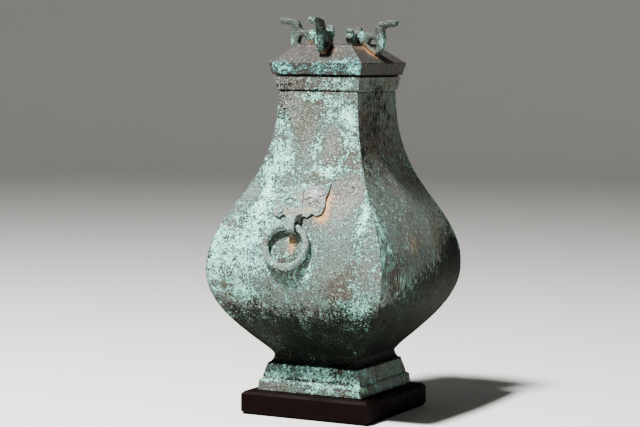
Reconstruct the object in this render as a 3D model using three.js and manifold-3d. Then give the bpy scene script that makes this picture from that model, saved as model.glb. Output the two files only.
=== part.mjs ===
import * as THREE from 'three';
import { mergeVertices } from 'three/addons/utils/BufferGeometryUtils.js';
import Module from 'manifold-3d';

const wasm = await Module();
wasm.setup();

// A square bronze wine jar with a hipped lid, two mask plates with rings, and a low wooden stand.
// Sizes are millimetres. +Z is up, the stand's underside is at z = 0 and the lit front faces -Y.
// Every square size is half the width across the flats.

// Gap between pieces that touch
const fitGap = 0.3;
// Straight pieces in one side of a square section
const sideSteps = 4;

// Wooden stand
const standHeight = 26.2;
const standMargin = 13.3;
const standBevel = 3.4;
const standRecessHeight = 3;
const standRecessDepth = 1.6;

// Foot of the jar, in two bands with a step between them
const footHalf = 64.7;
const footBandHeight = 12.3;
const footBandTaper = 1.2;
const footStep = 1.5;
const footStepHeight = 1.0;
const footHeight = 31.2;
const footTopHalf = 56.1;
const footLedge = 2.6;
const footWall = 4;

// Body of the jar
const waistRise = 8.6;
const waistHalf = 50.8;
const bellyRise = 96;
const bellyHalf = 107.3;
const neckRise = 197.5;
const neckHalf = 49.2;
const faceBulge = 5.2;
const wall = 3;
const floorThickness = 3.5;
const bodySteps = 9;
const neckSteps = 13;

// Rim band
const rimStep = 1.2;
const rimStepHeight = 1.9;
const rimBandHeight = 15.4;
const rimFlare = 2.6;
const rimWall = 4.2;

// Lid
const lidOverhang = 1.4;
const lidGap = 1.6;
const lidBandHeight = 13.6;
const lidBandFlare = 3.3;
const lidSlopeRise = 18.7;
const lidPlateHalf = 33.6;
const lidPlateRise = 2.4;
const lidWall = 3;
const lidSeatInset = 2.2;
const flangeDepth = 13;
const flangeWall = 2.6;
const flangeClearance = 0.6;

// Finials: their outlines are shares of the height from the plate's edge to the tail's top
const finialHeight = 28.4;
const finialThickness = 8.4;
const finialBevel = 0.9;
const finialBase = 4.4;

// Mask plates, which start a little above the eye of their nose loop
const maskHalfWidth = 32.8;
const maskHeight = 42.5;
const maskRise = 7.8;
const maskTilt = 4.5;
const maskPlate = 2.1;
const maskRelief = 1.5;
const maskRoot = 5;

// Nose loop of a mask, and the ring in it. The eye's rise is from the jar's widest level.
const strapWidth = 11.5;
const strapThickness = 2.2;
const strapRise = 10.5;
const strapHeel = 3;
const eyeRise = 53.5;
const eyeStandOff = 8.3;
const eyeClearance = 1.7;
const ringHalfWidth = 24.6;
const ringHalfDrop = 22.8;
const rodRadius = 4.2;

// Heights above the stand's underside, from the sizes above
const footBottom = standHeight + fitGap;
const footTop = footBottom + footHeight;
const waistZ = footTop + waistRise;
const bellyZ = waistZ + bellyRise;
const neckTop = bellyZ + neckRise;
const rimBottom = neckTop + rimStepHeight;
const rimTop = rimBottom + rimBandHeight;
const rimBottomHalf = neckHalf + rimStep;
const rimTopHalf = rimBottomHalf + rimFlare;
const lidBottom = rimTop + lidGap;
const lidBottomHalf = rimTopHalf + lidOverhang;
const eaveZ = lidBottom + lidBandHeight;
const eaveHalf = lidBottomHalf + lidBandFlare;
const slopeTop = eaveZ + lidSlopeRise;
const eyeZ = bellyZ + eyeRise;
const maskZ = eyeZ + maskRise;

// Closed body with square sections along a profile that starts and ends on the axis.
// A ring is its half width, its height and how far the middle of each side bulges.
function squareTurn(rings) {
  const positions = [];
  const index = [];
  const round = 4 * sideSteps;
  for (const { half, z, bulge = 0 } of rings) {
    for (let side = 0; side < 4; side++) {
      for (let step = 0; step < sideSteps; step++) {
        const along = (2 * step) / sideSteps - 1;
        const point = new THREE.Vector3(along * half, -half - bulge * (1 - along * along), z);
        point.applyAxisAngle(new THREE.Vector3(0, 0, 1), (side * Math.PI) / 2);
        positions.push(...point.toArray());
      }
    }
  }
  const first = positions.length / 3;
  positions.push(0, 0, rings[0].z, 0, 0, rings[rings.length - 1].z);
  const lastRing = (rings.length - 1) * round;
  for (let step = 0; step < round; step++) {
    const next = (step + 1) % round;
    index.push(first, next, step);
    index.push(first + 1, lastRing + step, lastRing + next);
    for (let ring = 0; ring < rings.length - 1; ring++) {
      const low = ring * round;
      const high = low + round;
      index.push(low + step, low + next, high + next);
      index.push(low + step, high + next, high + step);
    }
  }
  const geometry = new THREE.BufferGeometry();
  geometry.setAttribute('position', new THREE.Float32BufferAttribute(positions, 3));
  geometry.setIndex(index);
  return geometry;
}

function toSolid(geometry) {
  const bare = geometry.clone();
  bare.deleteAttribute('normal');
  bare.deleteAttribute('uv');
  const merged = mergeVertices(bare, 1e-4);
  return new wasm.Manifold(new wasm.Mesh({
    numProp: 3,
    vertProperties: new Float32Array(merged.attributes.position.array),
    triVerts: new Uint32Array(merged.index.array),
  }));
}

function toGeometry(solid) {
  const mesh = solid.getMesh();
  const geometry = new THREE.BufferGeometry();
  geometry.setAttribute('position', new THREE.BufferAttribute(new Float32Array(mesh.vertProperties), 3));
  geometry.setIndex(new THREE.BufferAttribute(new Uint32Array(mesh.triVerts), 1));
  return geometry;
}

// How far the middle of a side stands out of a section of the given half width
function bulgeOf(half) {
  return faceBulge * Math.max(0, (half - waistHalf) / (bellyHalf - waistHalf));
}

// The jar's outer profile between waist and neck: two curves that meet upright at the widest level
function bodyProfile() {
  const lower = new THREE.CubicBezierCurve(
    new THREE.Vector2(waistHalf, waistZ),
    new THREE.Vector2(waistHalf + 0.15 * (bellyHalf - waistHalf), waistZ + 0.18 * bellyRise),
    new THREE.Vector2(bellyHalf, bellyZ - 0.49 * bellyRise),
    new THREE.Vector2(bellyHalf, bellyZ),
  );
  const upper = new THREE.CubicBezierCurve(
    new THREE.Vector2(bellyHalf, bellyZ),
    new THREE.Vector2(bellyHalf, bellyZ + 0.36 * neckRise),
    new THREE.Vector2(neckHalf, neckTop - 0.575 * neckRise),
    new THREE.Vector2(neckHalf, neckTop),
  );
  return [...lower.getPoints(bodySteps), ...upper.getPoints(neckSteps).slice(1)];
}

const outerBody = bodyProfile();

// The same profile, moved inwards by the wall's thickness at right angles to it
function innerProfile() {
  return outerBody.map((point, place) => {
    const before = outerBody[Math.max(0, place - 1)];
    const after = outerBody[Math.min(outerBody.length - 1, place + 1)];
    const along = after.clone().sub(before).normalize();
    return new THREE.Vector2(point.x - wall * along.y, point.y + wall * along.x);
  });
}

// Half width of the jar at a height between waist and neck
function bodyHalfAt(z) {
  let place = outerBody.findIndex((point) => point.y >= z);
  place = Math.min(Math.max(place, 1), outerBody.length - 1);
  const [low, high] = [outerBody[place - 1], outerBody[place]];
  return low.x + ((high.x - low.x) * (z - low.y)) / (high.y - low.y);
}

// How far the wall stands out at a height and at a place across the side
function wallAt(z, across = 0) {
  const half = bodyHalfAt(z);
  return half + bulgeOf(half) * (1 - (across / half) ** 2);
}

// The axis of the eyes, from the jar's own axis
const eyeY = wallAt(eyeZ) + eyeStandOff;

const bodyRing = (point) => ({ half: point.x, z: point.y, bulge: bulgeOf(point.x) });

function outerRings() {
  const stepZ = footBottom + footBandHeight;
  return [
    { half: footHalf, z: footBottom },
    { half: footHalf - footBandTaper, z: stepZ },
    { half: footHalf - footBandTaper - footStep, z: stepZ + footStepHeight },
    { half: footTopHalf, z: footTop },
    { half: footTopHalf - footLedge, z: footTop + 0.1 * waistRise },
    { half: waistHalf + 0.25 * (footTopHalf - footLedge - waistHalf), z: footTop + 0.5 * waistRise },
    ...outerBody.map(bodyRing),
    { half: rimBottomHalf, z: rimBottom },
    { half: rimTopHalf, z: rimTop },
  ];
}

function vesselGeometry() {
  const inner = innerProfile();
  const cavityFloor = waistZ + floorThickness / 2;
  const footCeiling = waistZ - floorThickness / 2;
  const cavity = inner.filter((point) => point.y > cavityFloor + 1 && point.y < neckTop - 1);
  return squareTurn([
    { half: waistHalf - footWall, z: footCeiling },
    { half: footTopHalf - footLedge - footWall, z: footTop },
    { half: footHalf - footWall, z: footBottom },
    ...outerRings(),
    { half: rimTopHalf - rimWall, z: rimTop },
    { half: neckHalf - wall, z: neckTop },
    ...cavity.reverse().map(bodyRing),
    { half: waistHalf - wall, z: cavityFloor },
  ]);
}

// The jar's outside, a little larger, to cut what is laid against it
function vesselCutter() {
  return toSolid(squareTurn(outerRings().map((ring) => ({ ...ring, half: ring.half + fitGap }))));
}

function standGeometry() {
  const standHalf = footHalf + standMargin;
  return squareTurn([
    { half: standHalf - standRecessDepth, z: 0 },
    { half: standHalf - standRecessDepth, z: standRecessHeight },
    { half: standHalf, z: standRecessHeight },
    { half: standHalf, z: standHeight - standBevel },
    { half: standHalf - standBevel, z: standHeight },
  ]);
}

function lidOuterRings(grow) {
  return [
    { half: lidBottomHalf + grow, z: lidBottom - grow },
    { half: eaveHalf + grow, z: eaveZ + grow / 2 },
    { half: lidPlateHalf + grow, z: slopeTop + grow },
    { half: lidPlateHalf + grow, z: slopeTop + lidPlateRise + grow },
  ];
}

function lidGeometry() {
  const mouthHalf = rimTopHalf - rimWall - flangeClearance;
  const flangeHalf = neckHalf - wall - flangeClearance;
  const seatHalf = rimTopHalf - lidSeatInset;
  const seatZ = rimTop + fitGap;
  const innerHalf = flangeHalf - flangeWall;
  const innerDrop = lidWall * Math.hypot(lidSlopeRise, eaveHalf - lidPlateHalf) / (eaveHalf - lidPlateHalf);
  const innerTopHalf = lidPlateHalf - lidWall;
  const innerTop = slopeTop - innerDrop;
  const innerEave = innerTop - (lidSlopeRise * (innerHalf - innerTopHalf)) / (eaveHalf - lidPlateHalf);
  return squareTurn([
    { half: innerTopHalf, z: innerTop },
    { half: innerHalf, z: innerEave },
    { half: innerHalf, z: rimTop - flangeDepth },
    { half: flangeHalf, z: rimTop - flangeDepth },
    { half: mouthHalf, z: seatZ },
    { half: seatHalf, z: seatZ },
    { half: seatHalf, z: lidBottom },
    ...lidOuterRings(0),
  ]);
}

// The side view of a finial: r is the distance from the jar's axis. It is a beast with its head
// inwards, its back arched over an open middle, and its tail curling outwards.
function finialOutline({ ear, tail }) {
  const at = (out, up) => new THREE.Vector2(lidPlateHalf + out * finialHeight, slopeTop + up * finialHeight);
  const shape = new THREE.Shape();
  const go = (out, up) => shape.lineTo(at(out, up).x, at(out, up).y);
  const curve = (points) => shape.splineThru(points.map(([out, up]) => at(out, up)));
  const slope = lidSlopeRise / (eaveHalf - lidPlateHalf);
  const overSlope = (out, up) => [out, up - out * slope];
  const bottom = -0.75;
  shape.moveTo(at(-0.16, bottom).x, at(-0.16, bottom).y);
  go(0.46, bottom);
  go(...overSlope(0.46, -0.06));
  curve([overSlope(0.54, 0.09), overSlope(0.68, 0.26), [0.79, -0.12], [0.85, 0.08], [0.84, 0.33], [0.79, 0.55]]);
  if (tail) {
    curve([[0.84, 0.66], [0.92, 0.71], [1.06, 0.745], [1.34, 0.78]]);
    go(1.39, 0.98);
    curve([[1.26, 1], [0.84, 0.945], [0.63, 0.885], [0.54, 0.77], [0.48, 0.6]]);
  } else {
    go(0.74, 0.64);
    go(0.6, 0.75);
    go(0.53, 0.73);
    go(0.48, 0.6);
  }
  curve([[0.38, 0.51], [0.2, 0.475], [0.05, 0.485]]);
  if (ear) {
    go(-0.06, 0.52);
    go(-0.19, 0.71);
    go(-0.26, 0.58);
  }
  curve([[-0.14, 0.58], [-0.24, 0.47], [-0.29, 0.33], [-0.2, 0.2], [-0.16, 0.1]].slice(ear ? 1 : 0));
  go(-0.16, bottom);
  const base = finialBase / finialHeight;
  const inner = at(...overSlope(0.24, base));
  const outer = overSlope(0.5, base + 0.03);
  const hole = new THREE.Path();
  hole.moveTo(inner.x, inner.y);
  hole.splineThru([[0.16, 0.06], [0.22, 0.22], [0.35, 0.28], [0.48, 0.22], [0.54, 0.05], outer]
    .map(([out, up]) => at(out, up)));
  hole.lineTo(inner.x, inner.y);
  shape.holes.push(hole);
  return shape;
}

function finialGeometry({ ear, tail, sideways, raised }) {
  const body = new THREE.ExtrudeGeometry(finialOutline({ ear, tail }), {
    depth: finialThickness - 2 * finialBevel,
    bevelEnabled: true,
    bevelThickness: finialBevel,
    bevelSize: finialBevel,
    bevelOffset: -finialBevel,
    bevelSegments: 1,
    curveSegments: 3,
  });
  body.translate(0, 0, -finialThickness / 2 + finialBevel);
  body.rotateX(Math.PI / 2);
  body.translate(0, sideways, raised);
  return toGeometry(toSolid(body).subtract(toSolid(squareTurn(lidOuterRings(fitGap)))));
}

// Flat shapes of a mask in its own plane: x across, y up the wall, as shares of its size
const maskPoint = (across, up) => new THREE.Vector2(across * maskHalfWidth, up * maskHeight);

function maskOutline() {
  const half = [[0.22, 0.03], [0.34, 0], [0.53, 0.11], [0.66, 0.03], [0.86, 0.1], [0.94, 0.3], [0.91, 0.5],
    [0.97, 0.72], [1, 1], [0.72, 0.9], [0.4, 0.9], [0.2, 0.96], [0, 1]];
  const mirrored = half.slice(0, -1).reverse().map(([across, up]) => [-across, up]);
  return new THREE.Shape([...half, ...mirrored].map(([across, up]) => maskPoint(across, up)));
}

function extruded(shape, depth, steps = 4) {
  return new THREE.ExtrudeGeometry(shape, { depth, bevelEnabled: false, curveSegments: steps });
}

// A band that curls round a centre, from one angle in degrees to another. Its radius and width are
// shares of the mask's height.
function curl(across, up, radiusShare, widthShare, from, to) {
  const centre = maskPoint(across, up);
  const radius = radiusShare * maskHeight;
  const width = widthShare * maskHeight;
  const [start, end] = [THREE.MathUtils.degToRad(from), THREE.MathUtils.degToRad(to)];
  const shape = new THREE.Shape();
  shape.absarc(centre.x, centre.y, radius + width / 2, start, end, false);
  shape.absarc(centre.x, centre.y, radius - width / 2, end, start, true);
  return shape;
}

// Brow, horn and cheek scrolls of one side, for the right half seen from the front
function maskScrolls(side) {
  const turn = (from, to) => (side > 0 ? [from, to] : [180 - to, 180 - from]);
  return [
    curl(side * 0.38, 0.42, 0.174, 0.061, ...turn(10, 150)),
    curl(side * 0.73, 0.72, 0.108, 0.056, ...turn(-160, 110)),
    curl(side * 0.68, 0.25, 0.104, 0.056, ...turn(-150, 120)),
  ];
}

function noseBridge() {
  const half = strapWidth / 2;
  const right = [[half, -0.02], [0.7 * half, 0.33], [0.45 * half, 0.8]];
  const left = right.map(([x, up]) => [-x, up]).reverse();
  return new THREE.Shape([...right, ...left].map(([x, up]) => new THREE.Vector2(x, up * maskHeight)));
}

function eyeBall(side) {
  const centre = maskPoint(side * 0.37, 0.44);
  const ball = new THREE.SphereGeometry(0.101 * maskHeight, 10, 6);
  ball.scale(1, 0.8, 0.55);
  ball.translate(centre.x, centre.y, maskPlate);
  return ball;
}

// The strap seen from the side: out of the wall above the eye, round the ring and back under it
function strapGeometry() {
  const outer = rodRadius + eyeClearance + strapThickness;
  const shape = new THREE.Shape();
  shape.moveTo(-eyeStandOff - maskRoot, strapRise + strapHeel);
  shape.lineTo(-eyeStandOff * 0.7, strapRise + strapHeel);
  shape.bezierCurveTo(0, strapRise + 0.7 * strapHeel, outer, strapRise, outer, 0);
  shape.absarc(0, 0, outer, 0, -Math.PI / 2, true);
  shape.lineTo(-eyeStandOff - maskRoot, -outer);
  shape.closePath();
  const eye = new THREE.Path();
  eye.absarc(0, 0, rodRadius + eyeClearance, 0, 2 * Math.PI, false);
  shape.holes.push(eye);
  const strap = extruded(shape, strapWidth, 7);
  strap.translate(0, 0, -strapWidth / 2);
  const out = new THREE.Vector3(0, -1, 0);
  const up = new THREE.Vector3(0, 0, 1);
  const across = out.clone().cross(up);
  strap.applyMatrix4(new THREE.Matrix4().makeBasis(out, up, across).setPosition(0, -eyeY, eyeZ));
  return strap;
}

function maskGeometry() {
  const rise = 0.88 * maskHeight;
  const lean = Math.atan2(wallAt(maskZ) - wallAt(maskZ + rise), rise);
  const frame = new THREE.Matrix4().makeRotationX(Math.PI / 2 - lean);
  frame.multiply(new THREE.Matrix4().makeRotationZ(THREE.MathUtils.degToRad(maskTilt)));
  frame.setPosition(0, -wallAt(maskZ), maskZ);
  const pieces = [extruded(maskOutline(), maskPlate + maskRoot).translate(0, 0, -maskRoot)];
  for (const shape of [noseBridge(), ...maskScrolls(-1), ...maskScrolls(1)]) {
    pieces.push(extruded(shape, maskPlate + maskRelief));
  }
  pieces.push(eyeBall(-1), eyeBall(1));
  let face = toSolid(strapGeometry());
  for (const piece of pieces) {
    face = face.add(toSolid(piece.applyMatrix4(frame)));
  }
  return toGeometry(face.subtract(vesselCutter()));
}

// How much a ring's rod bends away from the axis of its eye within the strap, with the ring
// slid sideways: the ring is raised by half of it, so that its rod runs in the middle of the eye.
const ringLift = (slid) => (ringHalfDrop * (strapWidth / 2 + Math.abs(slid)) ** 2) / (4 * ringHalfWidth ** 2);

// Centre line of a ring that hangs from its eye at an angle to the upright
function ringPoint(turn, angle, slid) {
  const below = ringHalfDrop * (1 - Math.cos(turn)) - ringLift(slid);
  return {
    x: slid + ringHalfWidth * Math.sin(turn),
    out: eyeY + below * Math.sin(angle),
    z: eyeZ - below * Math.cos(angle),
  };
}

// The angle at which a hanging ring comes to rest against the wall below its eye
function restAngle(slid) {
  for (let degrees = 0; degrees < 60; degrees += 0.25) {
    const angle = THREE.MathUtils.degToRad(degrees);
    let nearest = Infinity;
    for (let turn = 0.6; turn < 2 * Math.PI - 0.6; turn += 0.05) {
      const { x, out, z } = ringPoint(turn, angle, slid);
      const lean = Math.atan(wallAt(z - 1, x) - wallAt(z, x));
      nearest = Math.min(nearest, (out - wallAt(z, x)) * Math.cos(lean) - rodRadius);
    }
    if (nearest >= fitGap) {
      return angle;
    }
  }
  return THREE.MathUtils.degToRad(60);
}

function ringGeometry(slid) {
  const ring = new THREE.TorusGeometry(ringHalfWidth, rodRadius, 9, 32);
  ring.scale(1, (ringHalfDrop + rodRadius) / (ringHalfWidth + rodRadius), 1);
  ring.rotateX(Math.PI / 2);
  ring.translate(0, 0, ringLift(slid) - ringHalfDrop);
  ring.rotateX(-restAngle(slid));
  ring.translate(slid, -eyeY, eyeZ);
  return ring;
}

const bronze = { roughness: 0.8, metalness: 0.35 };
const group = new THREE.Group();

function addPiece(name, geometry, turn, finish) {
  const mesh = new THREE.Mesh(geometry, new THREE.MeshStandardMaterial(finish));
  mesh.name = name;
  mesh.rotation.z = turn;
  group.add(mesh);
}

addPiece('wooden_stand', standGeometry(), 0, { color: 0x2a1712, roughness: 0.45, metalness: 0 });
addPiece('vessel', vesselGeometry(), 0, { color: 0x8aa093, ...bronze });
addPiece('lid', lidGeometry(), 0, { color: 0x8f8a84, ...bronze });

// The rings have slid a little along their straps
const sides = [
  { name: 'front', turn: 0, slid: -5 },
  { name: 'back', turn: Math.PI, slid: 1.5 },
];
for (const { name, turn, slid } of sides) {
  addPiece(`${name}_mask`, maskGeometry(), turn, { color: 0x8c918a, ...bronze });
  addPiece(`${name}_ring`, ringGeometry(slid), turn, { color: 0x7d827c, ...bronze });
}

// The finial at the back has lost its tail, the one at the right its ear
const finials = [
  { name: 'right', turn: 0, ear: false, tail: true, sideways: 0, raised: 0 },
  { name: 'back', turn: Math.PI / 2, ear: true, tail: false, sideways: 0, raised: 0 },
  { name: 'left', turn: Math.PI, ear: true, tail: true, sideways: 0, raised: 2.8 },
  { name: 'front', turn: -Math.PI / 2, ear: true, tail: true, sideways: 4.2, raised: 2.2 },
];
for (const { name, turn, ...form } of finials) {
  addPiece(`finial_${name}`, finialGeometry(form), turn, { color: 0x87988f, ...bronze });
}

export default group;
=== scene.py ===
import math
import bmesh
import bpy
import numpy as np
from mathutils import Matrix, Vector, noise


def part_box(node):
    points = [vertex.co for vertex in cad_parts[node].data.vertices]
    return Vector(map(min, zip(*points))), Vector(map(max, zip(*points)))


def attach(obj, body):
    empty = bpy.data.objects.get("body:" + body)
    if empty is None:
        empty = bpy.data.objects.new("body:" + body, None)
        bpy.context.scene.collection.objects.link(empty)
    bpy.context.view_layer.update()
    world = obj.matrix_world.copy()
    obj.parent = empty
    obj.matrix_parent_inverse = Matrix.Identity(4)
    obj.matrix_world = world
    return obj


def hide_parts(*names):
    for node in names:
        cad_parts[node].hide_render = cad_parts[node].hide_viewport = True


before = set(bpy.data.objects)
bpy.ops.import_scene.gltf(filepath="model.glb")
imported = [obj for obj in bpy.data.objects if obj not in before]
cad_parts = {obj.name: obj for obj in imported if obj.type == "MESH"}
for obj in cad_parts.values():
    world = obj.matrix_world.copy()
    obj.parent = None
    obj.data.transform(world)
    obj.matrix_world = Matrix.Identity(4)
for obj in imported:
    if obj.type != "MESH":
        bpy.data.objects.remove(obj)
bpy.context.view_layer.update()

# A square bronze wine jar with a hipped lid, two mask plates with rings, four small beasts on the
# lid and a low wooden stand. Sizes are millimetres until a mesh is made. Square sizes are half
# the width across the flats, the lit front faces -Y and the stand's underside is at z = 0.

mm = 0.001


# Shared helpers

def linear(code):
    # an sRGB hex colour as the linear values that a shader takes
    shares = [int(code[start:start + 2], 16) / 255 for start in (1, 3, 5)]
    bent = [share / 12.92 if share <= 0.04045 else ((share + 0.055) / 1.055) ** 2.4 for share in shares]
    return (*bent, 1.0)


def put(tree, kind, inputs=None, out=None, **settings):
    # adds a node: a socket is linked to an input, any other value is set there
    made = tree.nodes.new(kind)
    for name, value in settings.items():
        setattr(made, name, value)
    for key, value in (inputs or {}).items():
        if isinstance(key, int):
            socket = made.inputs[key]
        else:
            socket = next(one for one in made.inputs if one.enabled and one.name == key)
        if isinstance(value, bpy.types.NodeSocket):
            tree.links.new(value, socket)
        else:
            socket.default_value = value
    shown = [one for one in made.outputs if one.enabled]
    if not shown:
        return made
    return next(one for one in shown if one.name == out) if out else shown[0]


def total(tree, *products):
    # the sum of products, each of two sockets or numbers
    result = 0.0
    for factor, other in products:
        result = put(tree, "ShaderNodeMath", {0: factor, 1: other, 2: result}, operation="MULTIPLY_ADD")
    return result


def swing(tree, pattern):
    # noise of 0 to 1 spread out to mostly between -1 and 1
    return total(tree, (pattern, 5.0), (1.0, -2.5))


def newFinish(name):
    material = bpy.data.materials.new(name)
    material.use_nodes = True
    return material, material.node_tree, material.node_tree.nodes["Principled BSDF"]


def newTree(name, sizes):
    # a Geometry Nodes tree with a named input for each size, and its inputs by name
    tree = bpy.data.node_groups.new(name, "GeometryNodeTree")
    tree.interface.new_socket("Geometry", in_out="INPUT", socket_type="NodeSocketGeometry")
    for title, kind in sizes.items():
        tree.interface.new_socket(title, in_out="INPUT", socket_type="NodeSocket" + kind)
    tree.interface.new_socket("Geometry", in_out="OUTPUT", socket_type="NodeSocketGeometry")
    given = tree.nodes.new("NodeGroupInput").outputs
    return tree, {socket.name: socket for socket in given if socket.name}


def endTree(tree, geometry, material):
    real = put(tree, "GeometryNodeRealizeInstances", {"Geometry": geometry})
    dressed = put(tree, "GeometryNodeSetMaterial", {"Geometry": real, "Material": material})
    put(tree, "NodeGroupOutput", {"Geometry": dressed})
    return tree


def sunk(tree, geometry, seed, layers, share=1.0):
    # wears a surface inwards, so that it keeps its outer size, and shades it smooth
    # each layer of noise has a depth, a feature size, a detail and a roughness
    spot = put(tree, "GeometryNodeInputPosition")
    depths = []
    for depth, size, detail, roughness in layers:
        scale = put(tree, "ShaderNodeMath", {0: 1.0, 1: size}, operation="DIVIDE")
        wave = put(tree, "ShaderNodeTexNoise", {"Vector": spot, "W": seed, "Scale": scale, "Detail": detail,
                                                "Roughness": roughness}, noise_dimensions="4D")
        level = put(tree, "ShaderNodeMapRange", {"Value": wave, "From Min": 0.3, "From Max": 0.7})
        depths.append((level, depth))
    inward = total(tree, (total(tree, (total(tree, *depths), share)), -1.0))
    normal = put(tree, "GeometryNodeInputNormal")
    push = put(tree, "ShaderNodeVectorMath", {0: normal, "Scale": inward}, operation="SCALE")
    worn = put(tree, "GeometryNodeSetPosition", {"Geometry": geometry, "Offset": push})
    return put(tree, "GeometryNodeSetShadeSmooth", {"Geometry": worn, "Shade Smooth": True}, domain="FACE")


def linkNew(name, mesh):
    piece = bpy.data.objects.new(name, mesh)
    bpy.context.scene.collection.objects.link(piece)
    return piece


def evaluated(piece):
    # a plain mesh of a piece as its modifiers leave it
    depsgraph = bpy.context.evaluated_depsgraph_get()
    return bpy.data.meshes.new_from_object(piece.evaluated_get(depsgraph))


def grown(name, start, tree, sizes):
    # runs a tree on a start mesh and keeps the result as a plain mesh
    source = linkNew(name + "Start", start)
    modifier = source.modifiers.new("grow", "NODES")
    modifier.node_group = tree
    for item in tree.interface.items_tree:
        if item.in_out == "INPUT" and item.name in sizes:
            modifier[item.identifier] = sizes[item.name]
    mesh = evaluated(source)
    source.modifiers.remove(modifier)
    bpy.data.objects.remove(source)
    mesh.name = name
    return linkNew(name, mesh)


def meshFrom(name, shape):
    mesh = bpy.data.meshes.new(name)
    shape.to_mesh(mesh)
    shape.free()
    return mesh


def joined(name, meshes, mergeWithin=None):
    # one piece of several meshes; a CAD node's loose triangles need merging
    whole = bmesh.new()
    for mesh in meshes:
        whole.from_mesh(mesh)
    if mergeWithin:
        bmesh.ops.remove_doubles(whole, verts=whole.verts, dist=mergeWithin)
    return linkNew(name, meshFrom(name, whole))


def lineMesh(name, lines, closed=False, **shares):
    # lines of points joined by edges, in metres, with one float attribute for each list in shares
    mesh = bpy.data.meshes.new(name)
    points, edges = [], []
    for line in lines:
        start, count = len(points), len(line)
        points += [Vector(point) * mm for point in line]
        edges += [(start + place, start + (place + 1) % count)
                  for place in range(count if closed else count - 1)]
    mesh.from_pydata(points, edges, [])
    for title, values in shares.items():
        mesh.attributes.new(title, "FLOAT", "POINT").data.foreach_set("value", values)
    return mesh


def vectors(mesh, kind="co"):
    # the places of a mesh's vertices, or their normals
    flat = np.zeros(len(mesh.vertices) * 3)
    mesh.vertices.foreach_get(kind, flat)
    return flat.reshape(-1, 3)


def bezier(points, steps):
    first, second, third, last = (np.array(point, float) for point in points)
    t = np.linspace(0, 1, steps + 1)[:, None]
    return (1 - t) ** 3 * first + 3 * (1 - t) ** 2 * t * second + 3 * (1 - t) * t ** 2 * third + t ** 3 * last


def rounded(points, radius, steps=3, leastTurn=18, mostShare=0.4):
    # the same line with every corner sharper than leastTurn degrees taken off along a short curve
    points = [np.array(point, float) for point in points]
    line = [points[0]]
    for before, corner, after in zip(points, points[1:], points[2:]):
        back, on = before - corner, after - corner
        turn = math.acos(np.clip(-(back @ on) / np.linalg.norm(back) / np.linalg.norm(on), -1, 1))
        if math.degrees(turn) < leastTurn:
            line.append(corner)
            continue
        reach = min(radius, mostShare * np.linalg.norm(back), mostShare * np.linalg.norm(on))
        start = corner + back / np.linalg.norm(back) * reach
        end = corner + on / np.linalg.norm(on) * reach
        line.extend((1 - t) ** 2 * start + 2 * (1 - t) * t * corner + t * t * end
                    for t in np.linspace(0, 1, steps + 1))
    return line + [points[-1]]


def spaced(points, pitch):
    # the same line with no stretch longer than the pitch
    line = [points[0]]
    for low, high in zip(points, points[1:]):
        pieces = max(1, math.ceil(np.linalg.norm(np.subtract(high, low)) / pitch))
        line.extend(np.add(low, np.subtract(high, low) * step / pieces) for step in range(1, pieces + 1))
    return line


# Camera and light

camera = {
    "place": (1005.6, -2006.1, 400.4),
    "turn": 27.1,      # degrees round the jar from its front
    "pitch": 4.53,     # degrees down
    "roll": 0.54,
    "lens": 112.5,     # on a 36 mm sensor
}


def addCamera():
    turn, pitch, roll = (math.radians(camera[key]) for key in ("turn", "pitch", "roll"))
    right = Vector((math.cos(turn), math.sin(turn), 0))
    forward = Vector((-math.sin(turn) * math.cos(pitch), math.cos(turn) * math.cos(pitch), -math.sin(pitch)))
    up = right.cross(forward)
    data = bpy.data.cameras.new("camera")
    data.lens, data.sensor_width = camera["lens"], 36
    eye = bpy.data.objects.new("camera", data)
    across = right * math.cos(roll) + up * math.sin(roll)
    upright = up * math.cos(roll) - right * math.sin(roll)
    eye.matrix_world = Matrix.LocRotScale(Vector(camera["place"]) * mm,
                                          Matrix((across, upright, -forward)).transposed(), None)
    bpy.context.scene.collection.objects.link(eye)
    bpy.context.scene.camera = eye


studio = {
    "floor": "#dcdad6",
    "flatRadius": 4.5,    # metres of flat floor before it curves up into the backdrop
    "curveRadius": 2.5, "curveSteps": 12, "wallHeight": 6.0, "roundSteps": 96,
    "sky": "#e4e8ee", "skyStrength": 0.11,
    "aim": (0, 0, 0.22), "distance": 2.4,
    # each light's direction, size in metres and power: a steep key, a little left of the front, and a fill
    "lights": {"keyLight": ((-0.13, -0.47, 0.86), 0.3, 175), "fillLight": ((-0.85, -0.75, 0.35), 1.8, 4)},
}


def addLight(name, towards, size, power):
    data = bpy.data.lights.new(name, "AREA")
    data.shape, data.size, data.energy = "DISK", size, power
    lamp = bpy.data.objects.new(name, data)
    lamp.location = Vector(towards).normalized() * studio["distance"] + Vector(studio["aim"])
    lamp.rotation_euler = Vector(towards).to_track_quat("Z", "Y").to_euler()
    bpy.context.scene.collection.objects.link(lamp)


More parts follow.
